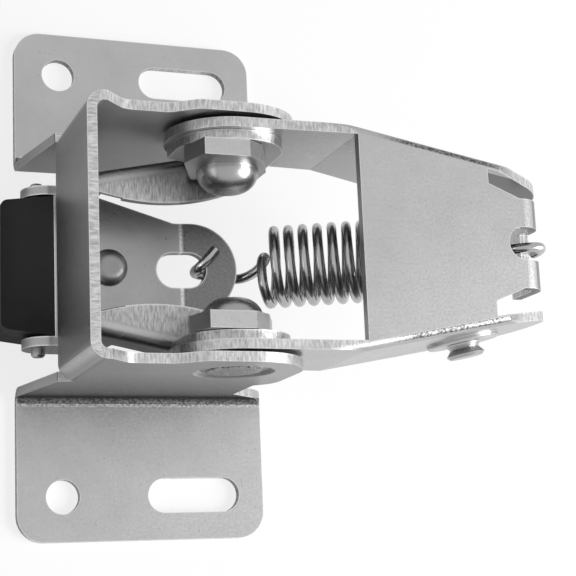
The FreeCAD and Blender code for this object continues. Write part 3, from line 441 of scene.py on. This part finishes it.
def plated_steel(name, tone, rough=0.32, lines=(0.04, 1.0, 1.0), grain_bump=0.06, fine=2600.0,
                 edges=(), patches=(), gleam=1.7, edge_band_width=0.3):
    """Zinc-plated steel with mill lines, specks, rubbed corners with a painted highlight, and
    striped sheared edges.
    """
    material = bpy.data.materials.new(name)
    material.use_nodes = True
    tree = material.node_tree
    steel = tree.nodes["Principled BSDF"]
    steel.inputs["Metallic"].default_value = 1.0
    grain = group_node(tree, plating, Coarse=160.0, Fine=fine)
    rubbed_and_highlit = group_node(tree, wear_and_highlight, Width=edge_band_width * MM, Amount=0.8)
    rolled = group_node(tree, mill, Stretch=lines)
    colour = mix_colour(tree, ramp(tree, grain.outputs["Blotches"], 0.3, 0.7, 0, 1),
                        tone * (1 - blotch_spread), tone * (1 + blotch_spread))
    colour = mix_colour(tree, math_node(tree, "MULTIPLY", rolled.outputs["Specks"], speck_share),
                        colour, tone * speck_tone)
    height = math_node(tree, "ADD", grain.outputs["Grain"], rolled.outputs["Lines"])
    colour, height = add_patches(tree, grain.outputs["Grain"], tone, colour, height, patches)
    colour, height = add_edges(tree, tone, colour, height, edges)
    # Sharp edges are brightened: partly rubbed wear, partly a painted highlight.
    worn_and_highlit = mix_colour(tree, rubbed_and_highlit.outputs["Mask"], colour, min(brightest, tone * gleam))
    tree.links.new(worn_and_highlit, steel.inputs["Base Color"])
    duller = ramp(tree, grain.outputs["Grain"], 0.3, 0.7, rough - 0.05, rough + 0.07)
    tree.links.new(duller, steel.inputs["Roughness"])
    bump(tree, steel, height, grain_bump)
    return material


def dress(material, *names):
    """Gives CAD nodes a finish."""
    for name in names:
        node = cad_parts[name]
        node.data.materials.clear()
        node.data.materials.append(material)
    print(material.name, "on", ", ".join(names))


ALONG_X, ALONG_Y, ALONG_Z = (1.0, 0.0, 0.0), (0.0, 1.0, 0.0), (0.0, 0.0, 1.0)

# %% [markdown]
# ## Bracket
# The bracket is folded from one strip: two flanges for the screws, two cheeks that carry
# the rivets, and a bridge between them. In the photograph the cheeks darken towards the
# flanges, more than this light makes them, so part of that shade is put in the tone. The
# ends of the bridge get painted shade as well. The fold beside a flange gets a dark mottled
# band of painted shade with a line of painted highlight beside it, and the floor of each
# dimple is dark.

# %% Bracket plating
bracket_edges = [
    (ALONG_Y, (ALONG_Y, 17.9, 19.6), (ALONG_Z, 3.0, 42.0), (ALONG_X, -2.8, 34.5)),
    (ALONG_X, (ALONG_X, -4.6, -2.8), (ALONG_Z, 19.0, 42.0)),
    (ALONG_Z, (ALONG_Y, 19.6, 43.0), (ALONG_Z, -0.1, 1.6)),
]
cheek_tone = (0.62, 0.04, (ALONG_Y, 19.4, 19.6), (ALONG_Z, 2.0, 42.0))
cheek_foot = (0.12, 0.1, (ALONG_Y, 19.4, 19.6), (ALONG_Z, 2.0, 9.0, 19.0))
# Painted shade on the outer ends of the bridge.
bridge_ends = (0.5, 0.04, (ALONG_X, -4.6, -4.3), (ALONG_Y, 14.0, 20.0, 8.0), (ALONG_Z, 19.0, 42.0))
dimple_floor = (0.35, 0.1, (ALONG_Y, 18.5, 19.39), (ALONG_X, 12.0, 27.0), (ALONG_Z, 23.0, 37.0))
# Painted shade: a dark mottled band in the fold beside a flange.
shaded_fold = (0.22, 0.5, (ALONG_Y, 19.5, 20.5), (ALONG_Z, 1.0, 3.0))
# A line of painted highlight beside that fold.
bright_line = (1.1, 0.35, (ALONG_Y, 20.6, 20.8, 0.15), (ALONG_Z, 1.0, 3.0))
bracket_patches = [cheek_tone, cheek_foot, bridge_ends, dimple_floor, shaded_fold, bright_line]
dress(plated_steel("bracket_plating", 0.40, edges=bracket_edges, patches=bracket_patches),
      "bracket")

# %% [markdown]
# ## Pedal
# The pedal is one sheet too. Two arms hold it on the rivets, its face is trodden on, and a
# tab at its end holds the spring. Its cheeks taper, so places on them are measured square
# to the taper: along_cheek is that direction. Its hollow end and its tab are given part of
# the shade that they have in the photograph.

# %% Pedal plating
along_cheek = (0.19, 1.0, 0.0)
pedal_edges = [
    (ALONG_Y, (ALONG_X, 10.0, 37.8), (ALONG_Z, 18.0, 41.0)),
    (ALONG_Y, (ALONG_X, 37.8, 73.0), (ALONG_Z, 18.0, 38.2)),
]
# A dark mottled line along the fold between the face and a cheek.
dark_fold = (0.4, 0.6, (along_cheek, 23.5, 24.2, 0.1), (ALONG_Z, 38.4, 41.0),
                  (ALONG_X, 46.0, 60.0, 5.0))
inner_side = (0.3, 0.1, (along_cheek, 21.0, 23.3), (ALONG_Z, 18.0, 38.3),
              (ALONG_X, 56.0, 73.0, 6.0))
tab_bend = (0.5, 0.1, (ALONG_Y, -1.0, 7.5), (ALONG_Z, 26.0, 39.5), (ALONG_X, 67.4, 70.0, 0.8))
pedal_patches = [dark_fold, inner_side, tab_bend]
dress(plated_steel("pedal_plating", 0.40, edges=pedal_edges, patches=pedal_patches), "pedal")

# %% [markdown]
# ## Foot carrier
# The carrier is duller than the rest, and its lines run across the catch. Its wings roll
# over in a smooth shoulder, so the stripes of the sheared edge keep to their inner half:
# along_wing is square to the wing's splay. The shoulder gets a painted highlight, and the
# carrier's edges a stronger painted highlight than the other parts get. A crease crosses
# the tongue where it is bent, painted as a lit line and a shaded line beside it.

# %% Carrier plating
along_wing = (-0.208, 1.0, 0.0)
tongue = (ALONG_Y, -1.0, 8.0)
carrier_edges = [
    (ALONG_Y, (ALONG_Y, 8.0, 16.0), (ALONG_Z, 24.5, 39.0), (ALONG_X, 8.0, 29.0)),
    (ALONG_Y, (along_wing, 0.0, 9.8, 0.7), (ALONG_Z, 22.0, 24.5), (ALONG_X, -3.0, 29.0)),
]
# Painted highlight along the rolled shoulder.
wing_shoulder = (1.35, 0.04, (along_wing, 10.6, 11.4, 0.5), (ALONG_Z, 21.0, 24.0),
                 (ALONG_X, -3.0, 18.0))
tongue_end = (0.55, 0.1, tongue, (ALONG_X, 18.6, 28.0), (ALONG_Z, 9.0, 16.0))
# The crease is painted: a painted highlight with a painted shade line beside it.
crease_light = (1.8, 0.2, tongue, (ALONG_X, 17.5, 17.8, 0.2), (ALONG_Z, 9.0, 15.0))
crease_shade = (0.5, 0.2, tongue, (ALONG_X, 18.2, 18.5, 0.2), (ALONG_Z, 9.0, 15.0))
# A high gleam and a wide band give the carrier's edges a strong painted highlight besides their
# wear.
carrier_plating = plated_steel(
    "carrier_plating", 0.34, lines=(1.0, 0.05, 1.0), edges=carrier_edges, grain_bump=0.12,
    patches=[wing_shoulder, tongue_end, crease_light, crease_shade], gleam=2.6, edge_band_width=0.5)
dress(carrier_plating, "foot_carrier")

# %% [markdown]
# ## Rivets, spacers and washers
# The small turned parts look smoother than the sheet. The flattened end of each pivot
# rivet is rough where it was peened, so it gets a strong mottle.

# %% Small parts
peened_end = (0.5, 0.98, (ALONG_Y, 18.0, 20.0))
dress(plated_steel("foot_rivet_plating", 0.28, rough=0.42, grain_bump=0.12), "foot_rivet")
dress(plated_steel("spacer_plating", 0.42, grain_bump=0.1),
      "pivot_spacer_upper", "pivot_spacer_lower", "stud_washer_upper", "stud_washer_lower")
dress(plated_steel("rivet_plating", 0.33, rough=0.3, grain_bump=0.12, fine=3600.0,
                   patches=[peened_end]),
      "pivot_rivet_upper", "pivot_rivet_lower", "foot_cross_pin",
      "side_stud_upper", "side_stud_lower")

# %% [markdown]
# ## Tension spring
# The real hook passes under the tongue, comes up through the slot and lies back on top,
# while the hook of the CAD spring goes the other way. So one curve is drawn in its place:
# both hooks are smooth lines through a few points, and the coil is worked out turn by
# turn. The wire is made a mesh.

# %% Spring sizes
WIRE_RADIUS = 0.8
COIL_RADIUS = 5.95
TURNS = 12
PITCH = 2.35
LEAD_IN = 11.6
LEAD_OUT = LEAD_IN + PITCH * TURNS
tongue_seat = Vector((20.7, 0.0, 11.25))
tab_seat = Vector((69.9, 0.0, 35.7))
spring_axis = (tab_seat - tongue_seat).normalized()
spring_side = Vector((0, 1, 0)).cross(spring_axis)
print("spring is", round((tab_seat - tongue_seat).length, 1), "mm from seat to seat")


# %% Spring route
def wound(distance, degrees, radius=COIL_RADIUS):
    """A point at a distance along the spring's axis and an angle round it."""
    angle = math.radians(degrees)
    ring = spring_side * math.cos(angle) + Vector((0, 1, 0)) * math.sin(angle)
    return tongue_seat + spring_axis * distance + ring * radius


def smooth_line(points, steps=8):
    """A line through the given points with no corners."""
    line = []
    padded = [points[0], *points, points[-1]]
    for a, b, c, d in zip(padded, padded[1:], padded[2:], padded[3:]):
        for i in range(steps):
            t = i / steps
            line.append(0.5 * (2 * b + (c - a) * t + (2 * a - 5 * b + 4 * c - d) * t ** 2
                               + (3 * b - a - 3 * c + d) * t ** 3))
    return line + [points[-1]]


foot_hook = [Vector(p) for p in (
    (23.0, 3.3, 14.1), (21.7, 1.7, 13.6), (20.5, 0.5, 12.6), (20.2, 0.1, 11.0),
    (21.0, -0.1, 9.8), (24.0, -0.7, 10.5), (27.4, -1.1, 11.9), (29.6, -0.3, 14.1),
    (30.7, 1.3, 16.0))]
foot_hook += [wound(LEAD_IN - 0.6, -225, 2.0), wound(LEAD_IN - 0.8, -180, 2.6),
              wound(LEAD_IN - 0.6, -135, 4.6), wound(LEAD_IN - 0.2, -110, 5.7)]
tab_hook = [wound(LEAD_OUT + 0.2, -70, 5.7), wound(LEAD_OUT + 0.7, -45, 4.6),
            wound(LEAD_OUT + 1.2, 0, 2.4), wound(LEAD_OUT + 3.0, 0, 0.4)]
tab_hook += [Vector(p) for p in (
    (64.0, 0.1, 33.2), (66.4, 0.2, 35.3), (68.8, 0.4, 36.0), (70.5, 0.5, 35.7),
    (71.3, 0.4, 34.2), (71.0, 0.2, 32.4))]
steps = 40
coil = [wound(LEAD_IN + PITCH * i / steps, 360 * i / steps - 90)
        for i in range(TURNS * steps + 1)]
route = smooth_line([*foot_hook, coil[0]])[:-1] + coil + smooth_line([coil[-1], *tab_hook])[1:]
wire_length = sum((b - a).length for a, b in zip(route, route[1:]))
print("spring takes", round(wire_length), "mm of wire")

# %% Spring wire
wire_data = bpy.data.curves.new("spring_route", "CURVE")
wire_data.dimensions = "3D"
wire_data.bevel_depth = WIRE_RADIUS * MM
wire_data.bevel_resolution = 4
wire_data.use_fill_caps = True
strand = wire_data.splines.new("POLY")
strand.points.add(len(route) - 1)
for point, where in zip(strand.points, route):
    point.co = (*(where * MM), 1)
drawn = bpy.data.objects.new("spring_route", wire_data)
bpy.context.scene.collection.objects.link(drawn)
bpy.context.view_layer.update()
finished = drawn.evaluated_get(bpy.context.evaluated_depsgraph_get())
wire_mesh = bpy.data.meshes.new_from_object(finished)
bpy.data.objects.remove(drawn)
tension_spring = bpy.data.objects.new("tension_spring", wire_mesh)
bpy.context.scene.collection.objects.link(tension_spring)
wire_mesh.materials.clear()
wire_mesh.materials.append(plated_steel("drawn_wire", 0.4, rough=0.2, grain_bump=0.03))
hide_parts("spring")
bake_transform(tension_spring)
print("spring has", len(wire_mesh.polygons), "faces")

# %% [markdown]
# ## Rolled wings
# The sides of the foot carrier are rolled inwards below the pivots. Each roll is a long leaf
# that thins out towards the bridge, with a smooth round shoulder and a striped flat lip. A
# single outline can't be swept along it, because its width changes all the way. So a ring
# is drawn at the pointed end and extruded in short steps, and each new ring is laid on the
# outline of its own place.

# %% Leaf outline
leaf_start, leaf_end, leaf_top = -1.2, 17.2, 23.42
leaf_root, root_half = 2.2, 12.93
splay_before, splay_after = 0.28, 0.208
lip_bow_centre, lip_bow_radius, lip_bow_middle = 42.0, 34.0, 10.5
shoulder_radius, skirt, lip_gauge, lip_bevel = 1.5, 1.0, 0.5, 0.12
dip_start, dip_rate, dip_power = 4.0, 0.05, 1.6


def leaf_section(x, hand):
    """The corners of a rolled wing's outline at a place along the catch."""
    outer = root_half + (x - leaf_root) * (splay_after if x > leaf_root else splay_before)
    inner = lip_bow_centre - math.sqrt(lip_bow_radius ** 2 - (x - lip_bow_middle) ** 2)
    width = outer - inner
    top = leaf_top - dip_rate * max(0.0, dip_start - x) ** dip_power
    bend = min(shoulder_radius, 0.5 * width)
    ring = [(outer, top - bend - skirt)]
    for degrees in range(0, 91, 15):
        angle = math.radians(degrees)
        ring.append((outer - bend + bend * math.cos(angle), top - bend + bend * math.sin(angle)))
    ring += [(inner + 0.35 * width, top), (inner + lip_bevel, top), (inner, top - lip_bevel),
             (inner, top - lip_gauge), (outer - bend, top - lip_gauge),
             (outer - lip_gauge, top - bend - skirt)]
    return [Vector((x, hand * y, z)) * MM for y, z in ring]


print("leaf is", leaf_end - leaf_start, "mm long")


# %% Wing rolls
def next_ring(bm, ring, corners, places):
    """Extrudes a ring of edges and lays its new corners on the given places."""
    grown = bmesh.ops.extrude_edge_only(bm, edges=ring)["geom"]
    fresh = {v for v in grown if isinstance(v, bmesh.types.BMVert)}
    ring = [e for e in grown if isinstance(e, bmesh.types.BMEdge) and set(e.verts) <= fresh]
    moved = []
    for corner, where in zip(corners, places):
        follower = next(e.other_vert(corner) for e in corner.link_edges
                        if e.other_vert(corner) in fresh)
        follower.co = where
        moved.append(follower)
    return ring, moved


def wing_roll(name, hand, steps=30, crease=40):
    """A rolled wing of the carrier, closed at both ends."""
    bm = bmesh.new()
    corners = [bm.verts.new(place) for place in leaf_section(leaf_start, hand)]
    ring = [bm.edges.new(pair) for pair in zip(corners, corners[1:] + corners[:1])]
    bmesh.ops.contextual_create(bm, geom=ring)
    for step in range(1, steps + 1):
        x = leaf_start + (leaf_end - leaf_start) * step / steps
        ring, corners = next_ring(bm, ring, corners, leaf_section(x, hand))
    bmesh.ops.contextual_create(bm, geom=ring)
    bmesh.ops.recalc_face_normals(bm, faces=bm.faces)
    for edge in bm.edges:
        edge.smooth = edge.calc_face_angle(0.0) < math.radians(crease)
    roll = new_object(name, bm)
    roll.data.materials.append(carrier_plating)
    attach(roll, "foot")
    print(name, "has", len(roll.data.polygons), "faces")


wing_roll("wing_roll_upper", 1)
wing_roll("wing_roll_lower", -1)

# %% [markdown]
# ## Rubber foot
# The foot is a block of black moulded rubber. It is almost matte, with a faint bloom and
# a fine orange-peel skin.

# %% Rubber
rubber = bpy.data.materials.new("foot_rubber")
rubber.use_nodes = True
tree = rubber.node_tree
skin = tree.nodes["Principled BSDF"]
skin.inputs["Specular IOR Level"].default_value = 0.3
grain = group_node(tree, plating, Coarse=400.0, Fine=3000.0)
bloom = mix_colour(tree, grain.outputs["Blotches"], 0.003, 0.009)
tree.links.new(bloom, skin.inputs["Base Color"])
tree.links.new(ramp(tree, grain.outputs["Blotches"], 0.3, 0.7, 0.5, 0.68),
               skin.inputs["Roughness"])
bump(tree, skin, grain.outputs["Grain"], 0.2)
dress(rubber, "rubber_foot")
